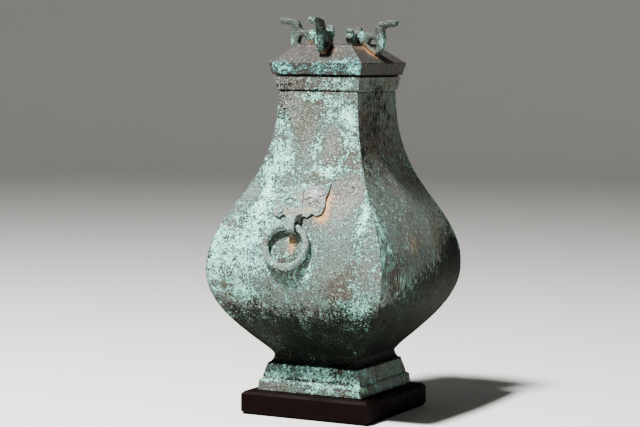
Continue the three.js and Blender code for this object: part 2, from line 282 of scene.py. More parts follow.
def addStudio():
    flat, curve, steps = studio["flatRadius"], studio["curveRadius"], studio["curveSteps"]
    profile = [(0, 0), (flat, 0)]
    for step in range(1, steps + 1):
        angle = math.radians(90 * step / steps)
        profile.append((flat + curve * math.sin(angle), curve * (1 - math.cos(angle))))
    profile.append((profile[-1][0], studio["wallHeight"]))
    bowl = bmesh.new()
    corners = [bowl.verts.new((radius, 0, height)) for radius, height in profile]
    sides = [bowl.edges.new(pair) for pair in zip(corners, corners[1:])]
    bmesh.ops.spin(bowl, geom=corners + sides, cent=(0, 0, 0), axis=(0, 0, 1), angle=math.tau,
                   steps=studio["roundSteps"])
    bmesh.ops.remove_doubles(bowl, verts=bowl.verts, dist=0.001)
    bmesh.ops.recalc_face_normals(bowl, faces=bowl.faces)
    mesh = meshFrom("studioFloor", bowl)
    mesh.shade_smooth()
    floor = linkNew("studioFloor", mesh)
    paper, _, shader = newFinish("paleBackdropPaper")
    shader.inputs["Base Color"].default_value = linear(studio["floor"])
    shader.inputs["Roughness"].default_value = 0.9
    shader.inputs["Specular IOR Level"].default_value = 0.15
    mesh.materials.append(paper)
    world = bpy.data.worlds.new("studioSky")
    world.use_nodes = True
    sky = world.node_tree.nodes["Background"]
    sky.inputs["Color"].default_value = linear(studio["sky"])
    sky.inputs["Strength"].default_value = studio["skyStrength"]
    bpy.context.scene.world = world
    for name, light in studio["lights"].items():
        addLight(name, *light)


addCamera()
addStudio()
bpy.context.scene.view_settings.look = "AgX - Medium High Contrast"
print("camera and studio light are in place")


# Finishes

# Leaded bronze that lay in the ground: a dull grey-green and brown tin-rich skin under a crust of
# green copper carbonate, which is matt, granular, speckled with dark pits and paler where it is thick
vesselLook = {
    "name": "buriedCastBronze",
    "bare": ("#66716a", "#585046", "#7a7673", "#8a918a"),   # olive, brown, mauve grey and pale skin
    "crust": ("#62857c", "#85b9ad", "#b0eddf"),             # from thin to thick
    "paintedShade": ("#101713", "#1c150d", "#3c574c"),             # painted shade: green, brown and crust for the skin that is painted dark
    "dark": "#141612", "shade": "#2c3a34", "azurite": "#41788a", "soil": "#c79a70", "frostAndGlints": "#c0efe3",
    "patchSize": 34, "middleSize": 9, "grainSize": 2.2, "pitSize": 1.8,
    "crustAmount": 0.5, "azuriteAmount": 0.55, "speckle": 0.85, "frosting": 0.85, "roughDepth": 0.8,
}
# The same metal on the lid, which kept more of its smooth brown skin
lidLook = {
    **vesselLook, "name": "brownSkinnedCastBronze", "bare": ("#403d37", "#36302a", "#4a4141", "#524f4b"),
    "crust": ("#3d7276", "#62a39c", "#a6e6dc"), "soil": "#b78e69",
    "crustAmount": 0.37, "azuriteAmount": 1.05, "speckle": 0.45, "frosting": 0.4, "roughDepth": 0.4,
}
# The masks and rings are cleaner and greyer, from handling
maskLook = {
    **vesselLook, "name": "greyTinRichBronze", "bare": ("#8e9691", "#7a706b", "#aaa3a6", "#c2c8c5"),
    "patchSize": 18, "middleSize": 5, "grainSize": 2.0, "crustAmount": 0.54, "roughDepth": 0.6,
}
ringLook = {
    **maskLook, "name": "handledGreyBronze", "bare": ("#7e8a83", "#6a5f59", "#a2989a", "#c0c9c4"),
    "patchSize": 12, "crustAmount": 0.56, "speckle": 0.8,
}
# The beasts on the lid are dark grey-green with turquoise heads and loamy feet
beastLook = {
    **vesselLook, "name": "earthStainedCastBronze", "bare": ("#484f49", "#3b3a33", "#57564f", "#656c65"),
    "soil": "#93755a", "patchSize": 10, "middleSize": 4, "grainSize": 1.5,
    "crustAmount": 0.48, "speckle": 0.55, "frosting": 0.45, "roughDepth": 0.4,
}


def patina(look):
    # corroded bronze from Object coordinates, which are metres, so a scale is one over a size in metres
    material, tree, shader = newFinish(look["name"])
    place = put(tree, "ShaderNodeTexCoord", out="Object")
    zones = put(tree, "ShaderNodeAttribute", attribute_name="zones", out="Color")
    zone = put(tree, "ShaderNodeSeparateColor", {"Color": zones}).node.outputs
    streaky = zones.node.outputs["Alpha"]
    olive, brown, mauve, pale = map(linear, look["bare"])
    thinCrust, fullCrust, thickCrust = map(linear, look["crust"])
    paintedShadeGreen, paintedShadeBrown, paintedShadeCrust = map(linear, look["paintedShade"])
    dark, shade, azurite, loam, white = (
        linear(look[key]) for key in ("dark", "shade", "azurite", "soil", "frostAndGlints"))

    def wave(size, detail=4.0, roughness=0.6, distortion=0.0, stretch=None):
        # noise of that feature size in millimetres
        where = place
        if stretch:
            where = put(tree, "ShaderNodeMapping", {"Vector": place, "Scale": stretch})
        return swing(tree, put(tree, "ShaderNodeTexNoise", {
            "Vector": where, "Scale": 1 / (size * mm), "Detail": detail, "Roughness": roughness,
            "Distortion": distortion}))

    def band(products, low, high, start=0.0, end=1.0):
        # from start to end, as the sum of products goes from low to high
        return put(tree, "ShaderNodeMapRange", {"Value": total(tree, *products), "From Min": low,
                                                "From Max": high, "To Min": start, "To Max": end},
                   interpolation_type="SMOOTHSTEP")

    def layered(colour, *layers):
        # each layer is a colour and how much it hides of what is under it
        for over, share in layers:
            colour = put(tree, "ShaderNodeMix", {"Factor": share, "A": colour, "B": over}, data_type="RGBA")
        return colour

    patches = wave(look["patchSize"], 6.0, 0.6, 0.3)
    broad = wave(look["patchSize"] * 1.6, 3.0, 0.5)
    tall = wave(look["patchSize"] * 0.9, 3.0, 0.5, 0.0, (1, 1, 0.8))
    middle = wave(look["middleSize"], 5.0, 0.62, 0.2)
    grit = wave(look["grainSize"], 3.0, 0.62, 0.5)
    fine = wave(look["grainSize"] * 0.5, 2.0, 0.6)
    streaks = wave(look["grainSize"] * 0.9, 4.0, 0.65, 0.4, (1, 1, 0.2))
    # grains run into streaks where water ran down a side
    grain = put(tree, "ShaderNodeMix", {"Factor": streaky, "A": grit, "B": streaks}, data_type="FLOAT")

    # the bare skin: olive grey, brown and mauve grey run into each other
    skin = layered(olive, (brown, band([(broad, 1.0), (middle, 0.3)], -0.5, 0.5)),
                   (mauve, band([(tall, 1.0), (middle, 0.4)], -0.1, 0.6, 0.0, 0.5)),
                   (pale, band([(grain, 0.5), (fine, 0.6)], 0.0, 0.9)),
                   (dark, band([(streaks, 1.0)], 0.5, 1.4, 0.0, 0.7)))

    # the crust takes hold where patches, zones and grain together pass a level
    hold = total(tree, (patches, 0.36), (middle, 0.42), (grain, 0.9), (fine, 0.25),
                 (zone["Red"], 3.0), (zone["Blue"], -0.5), (1.0, -1.5))
    level = 1.1 - 2.0 * look["crustAmount"]
    crust = band([(hold, 1.0)], level, level + 0.4)
    blues = band([(wave(look["patchSize"] * 0.4, 3.0, 0.5, 0.6), 1.0)], 1.5 - look["azuriteAmount"],
                 1.8 - look["azuriteAmount"], 0.0, 0.75)
    green = layered(thinCrust, (fullCrust, band([(middle, 0.5), (broad, 0.5)], -0.35, 0.4)),
                    (thickCrust, band([(hold, 1.0)], level + 0.45, level + 1.25)), (azurite, blues))

    # loam that clings in places, then dark grains between frosty ones and small pits over it all; the frosty
    # grains are pale crystals and painted glints of light on the grain
    soil = band([(zone["Green"], 1.5), (middle, 0.3), (grain, 0.3)], 0.35, 1.3, 0.0, 0.85)
    near = band([(hold, 1.0)], level - 1.3, level + 0.1, 0.35, 1.0)
    sunken = total(tree, (band([(grain, -0.8), (fine, -0.8)], 0.2, 0.85, 0.0, look["speckle"]), near))
    frostAndGlints = total(tree, (band([(grain, 0.7), (fine, 0.9)], 0.65, 1.2, 0.0, look["frosting"]), near))
    pits = band([(wave(look["pitSize"], 3.0, 0.7), 1.0)], -0.45, -1.0)
    # painted shade: where the blue zones hold, the skin is painted dark green and brown, and the patches make
    # its edge ragged
    paintedShade = layered(paintedShadeGreen, (paintedShadeBrown, band([(middle, 0.7), (patches, 0.4)], -0.35, 0.45)),
                    (paintedShadeCrust, band([(hold, 1.0)], level - 0.5, level + 0.2, 0.0, 0.75)))
    paintedShadeShare = band([(zone["Blue"], 1.7), (grain, -0.5), (fine, -0.35), (middle, -0.4), (patches, -0.3)],
                0.3, 1.05, 0.0, 0.96)
    colour = layered(skin, (green, crust), (loam, soil), (shade, sunken), (white, frostAndGlints), (paintedShade, paintedShadeShare),
                     (dark, total(tree, (pits, 0.6))))

    relief = total(tree, (crust, 0.6), (grain, 0.25), (fine, 0.14), (pits, -0.5), (sunken, -0.3))
    bump = put(tree, "ShaderNodeBump", {"Strength": 1.0, "Distance": look["roughDepth"] * mm,
                                        "Height": relief})
    for name, value in {"Base Color": colour, "Roughness": band([(crust, 1.0)], 0, 1, 0.55, 0.92),
                        "Metallic": band([(crust, 1.0)], 0, 1, 0.3, 0.0),
                        "Specular IOR Level": band([(paintedShadeShare, 1.0)], 0, 1, 0.5, 0.1), "Normal": bump}.items():
        tree.links.new(value, shader.inputs[name])
    return material


standLook = {
    "name": "lacqueredRosewood", "wood": ("#080303", "#1a0a08"),
    "grainLength": 60, "grainWidth": 4.8, "wearSize": 14,   # the grain is drawn coarser, so that it shows
}


def rosewood(look):
    # dark reddish-brown hardwood under worn lacquer: fine long grain and a soft sheen
    material, tree, shader = newFinish(look["name"])
    place = put(tree, "ShaderNodeTexCoord", out="Object")
    squeeze = look["grainLength"] / look["grainWidth"]
    along = put(tree, "ShaderNodeMapping", {"Vector": place, "Scale": (1, squeeze, squeeze)})
    grain = put(tree, "ShaderNodeTexNoise", {"Vector": along, "Scale": 1 / (look["grainLength"] * mm),
                                             "Detail": 6.0, "Roughness": 0.6, "Distortion": 0.4})
    wear = put(tree, "ShaderNodeTexNoise", {"Vector": place, "Scale": 1 / (look["wearSize"] * mm),
                                            "Detail": 5.0})
    low, high = map(linear, look["wood"])
    colour = put(tree, "ShaderNodeMix", {"Factor": grain, "A": low, "B": high}, data_type="RGBA")
    rough = put(tree, "ShaderNodeMapRange", {"Value": wear, "From Min": 0.3, "From Max": 0.7,
                                             "To Min": 0.48, "To Max": 0.7})
    bump = put(tree, "ShaderNodeBump", {"Strength": 0.3, "Distance": 0.15 * mm, "Height": grain})
    shader.inputs["Specular IOR Level"].default_value = 0.1
    for name, value in {"Base Color": colour, "Roughness": rough, "Normal": bump}.items():
        tree.links.new(value, shader.inputs[name])
    return material


castLooks = {"vessel": vesselLook, "lid": lidLook, "mask": maskLook, "ring": ringLook, "beast": beastLook}
finishes = {key: patina(look) for key, look in castLooks.items()}
finishes["stand"] = rosewood(standLook)
print("finishes are made")


# Square lofts: the jar, its lid and its stand

loftSizes = {"Pieces per side": "Int", "Rows": "Int", "Dent depth": "Float", "Dent size": "Float",
             "Crust depth": "Float", "Crust size": "Float", "Seed": "Float", "Material": "Material"}
sharpBend = 38    # degrees past which an edge of a loft is shaded sharp


def squareLoft():
    # Turns a profile, whose points are (half width, bulge, height), into a closed square body.
    # The relief attribute of the profile says how much of the corroded relief a row takes.
    tree, given = newTree("squareLoft", loftSizes)
    perSide, rows = given["Pieces per side"], given["Rows"]
    columns = total(tree, (perSide, 4.0))
    lastRow = total(tree, (rows, 1.0), (1.0, -1.0))
    grid = put(tree, "GeometryNodeMeshGrid", {
        "Size X": columns, "Size Y": lastRow, "Vertices X": total(tree, (columns, 1.0), (1.0, 1.0)),
        "Vertices Y": rows})
    spot = put(tree, "GeometryNodeInputPosition")
    cell = put(tree, "ShaderNodeSeparateXYZ", {"Vector": spot}).node.outputs
    column, row = (put(tree, "ShaderNodeMath", {0: total(tree, (last, 0.5), (cell[axis], 1.0))},
                       operation="ROUND") for last, axis in ((columns, "X"), (lastRow, "Y")))
    turns = put(tree, "ShaderNodeMath", {0: column, 1: perSide}, operation="DIVIDE")
    side = put(tree, "ShaderNodeMath", {0: turns}, operation="FLOOR")
    along = total(tree, (turns, 2.0), (side, -2.0), (1.0, -1.0))
    weight = put(tree, "GeometryNodeInputNamedAttribute", {"Name": "relief"}, data_type="FLOAT")
    rowPoint, rowRelief = (put(tree, "GeometryNodeSampleIndex", {
        "Geometry": given["Geometry"], "Value": value, "Index": row}, data_type=kind)
        for value, kind in ((spot, "FLOAT_VECTOR"), (weight, "FLOAT")))
    profile = put(tree, "ShaderNodeSeparateXYZ", {"Vector": rowPoint}).node.outputs
    crown = total(tree, (1.0, 1.0), (total(tree, (along, along)), -1.0))
    outward = total(tree, (profile["X"], 1.0), (profile["Y"], crown))
    flat = put(tree, "ShaderNodeCombineXYZ", {"X": total(tree, (along, profile["X"])),
                                              "Y": total(tree, (outward, -1.0)), "Z": profile["Z"]})
    turned = put(tree, "ShaderNodeVectorRotate", {"Vector": flat, "Angle": total(tree, (side, math.pi / 2))},
                 rotation_type="Z_AXIS")
    kept = put(tree, "GeometryNodeStoreNamedAttribute", {
        "Geometry": grid, "Name": "relief", "Value": rowRelief}, data_type="FLOAT", domain="POINT")
    shaped = put(tree, "GeometryNodeSetPosition", {"Geometry": kept, "Position": turned})
    closed = put(tree, "GeometryNodeMergeByDistance", {"Geometry": shaped, "Distance": 0.00001})
    smooth = sunk(tree, closed, given["Seed"], [
        (given["Dent depth"], given["Dent size"], 1.0, 0.55),
        (given["Crust depth"], given["Crust size"], 4.0, 0.55)], weight)
    bend = put(tree, "GeometryNodeInputMeshEdgeAngle")
    sharp = put(tree, "ShaderNodeMath", {0: bend, 1: math.radians(sharpBend)}, operation="GREATER_THAN")
    edged = put(tree, "GeometryNodeSetShadeSmooth", {"Geometry": smooth, "Selection": sharp,
                                                     "Shade Smooth": False}, domain="EDGE")
    return endTree(tree, edged, given["Material"])


loftTree = squareLoft()


def loft(name, rows, sizes, finish):
    # rows are (half width, bulge, height, share of the relief)
    start = lineMesh(name + "Profile", [[row[:3] for row in rows]], relief=[row[3] for row in rows])
    relief = sizes["relief"]
    piece = grown(name, start, loftTree, {
        "Pieces per side": sizes["perSide"], "Rows": len(rows), "Dent depth": relief["dentDepth"] * mm,
        "Dent size": relief["dentSize"] * mm, "Crust depth": relief["crustDepth"] * mm,
        "Crust size": relief["crustSize"] * mm, "Seed": relief["seed"], "Material": finish})
    print(name, len(piece.data.polygons), "faces")
    return piece


stand = {
    "margin": 13.3, "bevel": 3.4, "recessHeight": 3, "recessDepth": 1.6, "softEdge": 0.7,
    "perSide": 56, "pitch": 3,
    "relief": {"dentDepth": 0.12, "dentSize": 70, "crustDepth": 0.05, "crustSize": 9, "seed": 4.0},
}
foot = {
    "half": 64.7, "height": 31.2, "topHalf": 56.1, "wall": 4, "ledge": 2.6,
    "bandHeight": 12.3, "bandTaper": 1.2, "edgeDrop": 0.8, "ledgeDepth": 2.3, "ledgeRise": 1.3,
    "groove": 3.1, "grooveRise": 2.4, "grooveTop": 3.8,
}
body = {
    "waistRise": 8.6, "waistHalf": 50.8, "bellyRise": 96, "bellyHalf": 107.3,
    "neckRise": 197.5, "neckHalf": 49.2, "bulge": 5.2, "wall": 3, "floor": 3.5,
    "lowPulls": (0.15, 0.18, 0.49),     # handles of the curve below the belly, as shares of its size
    "highPulls": (0.36, 0.575),         # and of the one above it
    "throatShares": (0.25, 0.1, 0.5),   # how far the throat stands out, where it starts and its middle
    "perSide": 78, "pitch": 2.1,
    "relief": {"dentDepth": 0.5, "dentSize": 46, "crustDepth": 0.55, "crustSize": 6.5, "seed": 1.0},
}
rim = {
    "step": 1.2, "stepHeight": 1.9, "groove": 0.8, "grooveRise": 1.2, "lip": 0.2,
    "bandHeight": 15.4, "flare": 2.6, "wall": 4.2,
}
gap = 0.3              # between pieces that touch
softEdge = 0.8         # how far the casting's edges are worn round

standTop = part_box("wooden_stand")[1].z / mm
footBottom = standTop + gap
footTop = footBottom + foot["height"]
waistZ = footTop + body["waistRise"]
bellyZ = waistZ + body["bellyRise"]
neckTop = bellyZ + body["neckRise"]
rimBottom = neckTop + rim["stepHeight"]
rimTop = rimBottom + rim["bandHeight"]
rimBottomHalf = body["neckHalf"] + rim["step"]
rimTopHalf = rimBottomHalf + rim["flare"]


def bodyLine(lowSteps, highSteps):
    # the jar's outer profile between waist and neck: two curves that meet upright at the belly
    waist, belly, neck = body["waistHalf"], body["bellyHalf"], body["neckHalf"]
    outPull, upPull, downPull = (share * size for share, size in
                                 zip(body["lowPulls"], (belly - waist, body["bellyRise"], body["bellyRise"])))
    liftPull, dropPull = (share * body["neckRise"] for share in body["highPulls"])
    low = bezier([(waist, waistZ), (waist + outPull, waistZ + upPull), (belly, bellyZ - downPull),
                  (belly, bellyZ)], lowSteps)
    high = bezier([(belly, bellyZ), (belly, bellyZ + liftPull), (neck, neckTop - dropPull),
                   (neck, neckTop)], highSteps)
    return np.array([*low, *high[1:]])


fineBody = bodyLine(64, 118)
coarseBody = bodyLine(9, 13)    # the few straight pieces that the rings and masks rest on


def bulgeOf(half):
    # how far the middle of a side stands out past its corners
    span = body["bellyHalf"] - body["waistHalf"]
    return body["bulge"] * np.maximum(0.0, (half - body["waistHalf"]) / span)


def wallAt(line, z, across=0.0):
    # how far the wall stands from the axis at a height and at a place across the side
    half = np.interp(z, line[:, 1], line[:, 0])
    return half + bulgeOf(half) * (1 - (across / half) ** 2)


def vesselRows():
    stepZ = footBottom + foot["bandHeight"]
    stepHalf = foot["half"] - foot["bandTaper"]
    grooveHalf = stepHalf - foot["groove"]
    ledgeHalf = foot["topHalf"] - foot["ledge"]
    throat, throatLow, throatHigh = body["throatShares"]
    outer = [(foot["half"] - foot["wall"], footBottom), (foot["half"], footBottom),
             (stepHalf, stepZ - foot["edgeDrop"]), (stepHalf - foot["ledgeDepth"], stepZ + foot["ledgeRise"]),
             (grooveHalf, stepZ + foot["grooveRise"]), (grooveHalf, stepZ + foot["grooveTop"]),
             (foot["topHalf"], footTop), (ledgeHalf, footTop + throatLow * body["waistRise"]),
             (body["waistHalf"] + throat * (ledgeHalf - body["waistHalf"]),
              footTop + throatHigh * body["waistRise"]),
             *fineBody, (body["neckHalf"] - rim["groove"], neckTop + rim["grooveRise"]),
             (rimBottomHalf, rimBottom + rim["lip"]), (rimTopHalf, rimTop),
             (rimTopHalf - rim["wall"], rimTop)]
    outer = spaced(rounded(outer, softEdge), body["pitch"])
    line = bodyLine(14, 18)
    slopes = np.gradient(line, axis=0)
    slopes /= np.linalg.norm(slopes, axis=1)[:, None]
    inner = line + body["wall"] * np.stack([-slopes[:, 1], slopes[:, 0]], axis=1)
    floorTop = waistZ + body["floor"] / 2
    ceiling = waistZ - body["floor"] / 2
    inner = [point for point in inner if floorTop + 1 < point[1] < neckTop - 1]
    under = [(0, ceiling), (body["waistHalf"] - foot["wall"], ceiling), (ledgeHalf - foot["wall"], footTop)]
    inside = [(body["neckHalf"] - body["wall"], neckTop), *inner[::-1],
              (body["waistHalf"] - body["wall"], floorTop), (0, floorTop)]
    # the foot's underside and the rim's top stay flat
    firstWorn, lastWorn = len(under) + 4, len(under) + len(outer) - 3
    return [(half, bulgeOf(half) if waistZ < z < neckTop else 0, z, float(firstWorn <= place <= lastWorn))
            for place, (half, z) in enumerate([*under, *outer, *inside])]


vessel = loft("bronze_vessel", vesselRows(), body, finishes["vessel"])

lid = {
    "overhang": 1.4, "gap": 1.6, "bandHeight": 13.6, "bandFlare": 3.3, "slopeRise": 18.7,
    "plateHalf": 33.6, "plateRise": 2.4, "wall": 3, "seatInset": 2.2,
    "flangeDepth": 13, "flangeWall": 2.6, "flangeClearance": 0.6,
    "perSide": 88, "pitch": 1.3, "plainRows": 4,     # the relief comes in over this many rows
    "relief": {"dentDepth": 0.35, "dentSize": 34, "crustDepth": 0.3, "crustSize": 5, "seed": 2.0},
}
lidBottom = rimTop + lid["gap"]
lidBottomHalf = rimTopHalf + lid["overhang"]
eaveZ = lidBottom + lid["bandHeight"]
eaveHalf = lidBottomHalf + lid["bandFlare"]
slopeTop = eaveZ + lid["slopeRise"]
lidSlope = lid["slopeRise"] / (eaveHalf - lid["plateHalf"])


def lidRows():
    mouth = rimTopHalf - rim["wall"] - lid["flangeClearance"]
    flange = body["neckHalf"] - body["wall"] - lid["flangeClearance"]
    seat = rimTopHalf - lid["seatInset"]
    seatZ = rimTop + gap
    innerHalf = flange - lid["flangeWall"]
    innerTopHalf = lid["plateHalf"] - lid["wall"]
    innerTop = slopeTop - lid["wall"] * math.hypot(1, lidSlope)
    innerEave = innerTop - lidSlope * (innerHalf - innerTopHalf)
    under = [(0, innerTop), (innerTopHalf, innerTop), (innerHalf, innerEave),
             (innerHalf, rimTop - lid["flangeDepth"]), (flange, rimTop - lid["flangeDepth"]),
             (mouth, seatZ), (seat, seatZ)]
    outer = rounded([(seat, lidBottom), (lidBottomHalf, lidBottom), (eaveHalf, eaveZ),
                     (lid["plateHalf"], slopeTop), (lid["plateHalf"], slopeTop + lid["plateRise"]),
                     (0, slopeTop + lid["plateRise"])], softEdge)
    rows = [(half, 0, z, 0.0) for half, z in under]
    return rows + [(half, 0, z, min(1.0, place / lid["plainRows"]))
                   for place, (half, z) in enumerate(spaced(outer, lid["pitch"]))]


jarLid = loft("bronze_lid", lidRows(), lid, finishes["lid"])


def standRows():
    half = foot["half"] + stand["margin"]
    recess = half - stand["recessDepth"]
    line = rounded([(0, 0), (recess, 0), (recess, stand["recessHeight"]), (half, stand["recessHeight"]),
                    (half, standTop - stand["bevel"]), (half - stand["bevel"], standTop), (0, standTop)],
                   stand["softEdge"])
    return [(half, 0, z, 1.0 if stand["recessHeight"] < z < standTop else 0.0)
            for half, z in spaced(line, stand["pitch"])]


woodenStand = loft("rosewood_stand", standRows(), stand, finishes["stand"])

for piece, node, slotName in ((vessel, "vessel", "jar_bronze"), (jarLid, "lid", "lid_bronze"),
                              (woodenStand, "wooden_stand", "stand_wood")):
    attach(piece, "jar")
    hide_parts(node)
print("jar, lid and stand are made")


# Zones of the jar's patina and of its painted shade, laid on like strokes of a broad brush

# Each stroke is its middle across that side, seen from outside, and up from the stand's underside,
# then its width and height, all in millimetres, and last its strength.
strokes = {
    "front": {
        "crust": [(-42, 327, 9, 12, 0.6), (31, 340, 16, 13, 0.5), (-5, 356, 8, 7, 0.5),
                  (40, 318, 9, 26, 0.5), (2, 298, 9, 16, 0.35), (-38, 284, 18, 15, 0.6),
                  (20, 273, 30, 7, 0.5), (-50, 258, 16, 16, 0.5), (-54, 230, 22, 22, 0.65),
                  (-60, 182, 30, 26, 0.55), (-52, 140, 24, 12, 0.4), (20, 165, 18, 24, 0.3),
                  (74, 134, 26, 13, 0.5), (-98, 190, 8, 60, 0.5), (78, 225, 8, 40, 0.6),
                  (30, 369, 22, 7, 0.45), (-20, 47, 34, 7, 0.3), (30, 46, 24, 7, 0.4),
                  # painted highlight: the thin pale lines at 37.6 and 56.5 light the edges of the foot's
                  # ledge and top
                  (10, 32, 26, 5, 0.35), (60, 36, 8, 10, 0.35), (0, 37.6, 70, 1.6, 0.45),
                  (0, 56.5, 60, 1.8, 0.35)],
        "bare": [(-20, 335, 16, 14, 0.5), (-40, 357, 12, 18, 0.5), (-12, 312, 12, 16, 0.35),
                 (-65, 248, 10, 10, 1.0), (48, 244, 18, 26, 0.55), (46, 163, 18, 13, 0.35),
                 (64, 145, 10, 5, 0.6), (22, 300, 9, 22, 0.3), (-34, 370, 16, 8, 0.3),
                 (-45, 31, 16, 5, 0.4)],
        "soil": [(29, 237, 5, 14, 0.85), (26, 225, 11, 5, 0.6), (0, 194, 5, 8, 0.8), (8, 271, 22, 5, 0.5),
                 (44, 302, 7, 10, 0.35), (0, 359, 50, 1.4, 0.4), (30, 236, 14, 26, 0.32),
                 (-4, 208, 20, 16, 0.3), (50, 170, 20, 10, 0.2)],
        # painted shade: the thin dark line at 361.3 is the shade in the groove under the rim, and the long
        # dark lines across the foot at 41.2, 30 and 51 are shade in and around its ledge; the other dark
        # strokes are dark skin
        "dark": [(-10, 361.3, 46, 0.8, 0.8), (-24, 147, 5, 8, 0.3), (-34, 368, 24, 11, 0.28),
                 (-46, 342, 13, 32, 0.42), (-20, 330, 16, 20, 0.24), (50, 335, 8, 20, 0.12),
                 (0, 41.2, 70, 1.5, 0.6), (0, 30, 70, 5, 0.08), (0, 51, 60, 1.2, 0.12)],
    },
    "right": {
        "crust": [(-84, 228, 6, 40, 0.8), (-98, 185, 5, 26, 0.5), (-30, 150, 50, 18, 0.2)],
        "bare": [(24, 215, 60, 40, 0.3), (0, 335, 60, 40, 0.5)],
        "soil": [(-26, 190, 16, 22, 0.42), (30, 180, 12, 20, 0.28)],
        # painted shade: the strokes on the neck and the lower belly paint the shade of this side, which faces
        # away from the light; the narrow one at -48 is a dark streak
        "dark": [(-10, 345, 50, 40, 0.45), (-48, 285, 12, 34, 0.35), (0, 128, 95, 32, 0.9),
                 (60, 155, 52, 30, 0.7), (84, 165, 32, 60, 0.6)],
    },
    "back": {
        "crust": [(25, 190, 50, 60, 0.4), (-20, 320, 26, 30, 0.4)],
        "bare": [(-50, 120, 40, 50, 0.4), (30, 270, 24, 34, 0.4)],
        "soil": [(-30, 226, 10, 14, 0.7)],
    },
    "left": {
        "crust": [(30, 180, 60, 60, 0.4), (-30, 320, 20, 30, 0.4)],
        "bare": [(-30, 260, 40, 60, 0.35)],
        "soil": [(20, 150, 16, 10, 0.5)],
    },
}
lidStrokes = {
    "front": {
        "crust": [(-38, 386, 15, 8, 0.5), (49, 386, 12, 8, 0.55), (8, 386, 22, 8, 0.32),
                  (0, 385, 80, 6, 0.15), (30, 394, 20, 2, 0.2)],
        "bare": [(-30, 399, 24, 5, 0.35), (0, 406, 60, 8, 0.45)],
        "soil": [(14, 405, 9, 7, 0.4), (-24, 410, 12, 4, 0.3)],
    },
    "right": {
        "bare": [(0, 402, 70, 16, 0.4)],
        "soil": [(-2, 405, 14, 9, 0.9), (-30, 409, 16, 4, 0.35)],
    },
    "back": {
        "crust": [(-20, 386, 24, 8, 0.4)],
        "bare": [(20, 404, 40, 8, 0.3)],
        "soil": [(0, 408, 10, 7, 0.5)],
    },
    "left": {
        "crust": [(10, 386, 34, 8, 0.4)],
        "soil": [(0, 408, 10, 7, 0.5)],
    },
}
sideTurns = {"front": 0, "right": 90, "back": 180, "left": 270}
streakShares = {"front": 0.1, "right": 0.85, "back": 0.4, "left": 0.3}
paints = {"crust": (0, 0.5), "bare": (0, -0.5), "soil": (1, 1.0), "dark": (2, 1.0)}   # channel and weight


def storeZones(piece, crust, soil, dark, streaked):
    # red is crust with 0.5 as its middle, green is soil, blue is painted shade and dark skin and alpha is how
    # streaky it is
    layer = piece.data.color_attributes.new("zones", "FLOAT_COLOR", "POINT")
    count = len(piece.data.vertices)
    channels = [np.clip(np.broadcast_to(one, count), 0, 1) for one in (crust, soil, dark, streaked)]
    layer.data.foreach_set("color", np.stack(channels, axis=1).ravel())


# dark is the painted shade that the blue zone starts from
def paintZones(piece, sides, dark=0.0):
    points = vectors(piece.data) / mm
    zones = np.zeros((4, len(points)))
    zones[0] = 0.5
    zones[2] = dark
    for side, painted in sides.items():
        turn = math.radians(sideTurns[side])
        across = points[:, 0] * math.cos(turn) + points[:, 1] * math.sin(turn)
        outwards = points[:, 0] * math.sin(turn) - points[:, 1] * math.cos(turn)
        onSide = outwards > np.abs(across) * 0.999
        zones[3][onSide] = streakShares[side]
        for paint, laid in painted.items():
            channel, weight = paints[paint]
            for middle, height, width, tall, strength in laid:
                far = ((across - middle) / width) ** 2 + ((points[:, 2] - height) / tall) ** 2
                zones[channel] += np.exp(-far) * strength * onSide * weight
    storeZones(piece, *zones)


paintedLowShade = {"level": 140, "depth": 42, "footMargin": 2}    # painted shade: the skin is painted darker from this level down to the foot, as the light falls off under the belly


def shadeOf(piece):
    height = vectors(piece.data)[:, 2] / mm
    share = np.clip((paintedLowShade["level"] - height) / paintedLowShade["depth"], 0, 1)
    return share * (height > footTop - paintedLowShade["footMargin"])


# painted shade: the jar's skin is painted darker under the belly, in the waist and inside, and the lid's on
# its underside, where shade falls
wornShare = np.zeros(len(vessel.data.vertices))
vessel.data.attributes["relief"].data.foreach_get("value", wornShare)
paintZones(vessel, strokes, np.maximum(shadeOf(vessel), wornShare < 0.5))
paintZones(jarLid, lidStrokes, 0.7 * (vectors(jarLid.data, "normal")[:, 2] < -0.5))
print("zones are painted")


# Grains of crust, and a lump of it on the foot

grains = {
    "radius": 0.85, "least": 0.5, "flatness": 0.6, "sunk": 0.25, "perSquareMetre": 62000, "edge": 1.4,
    "level": 0.35, "seed": 6,
}
lump = {"place": (66.2, -60.6, 34.6), "radii": (5.6, 5.4, 4.4), "roughness": 1.4, "grain": 3.0}
grainSizes = {**dict.fromkeys(("Radius", "Least share", "Flatness", "Sunk", "Density", "Patch size",
                               "Middle size", "Level", "Reach"), "Float"),
              "Seed": "Int", "Material": "Material"}


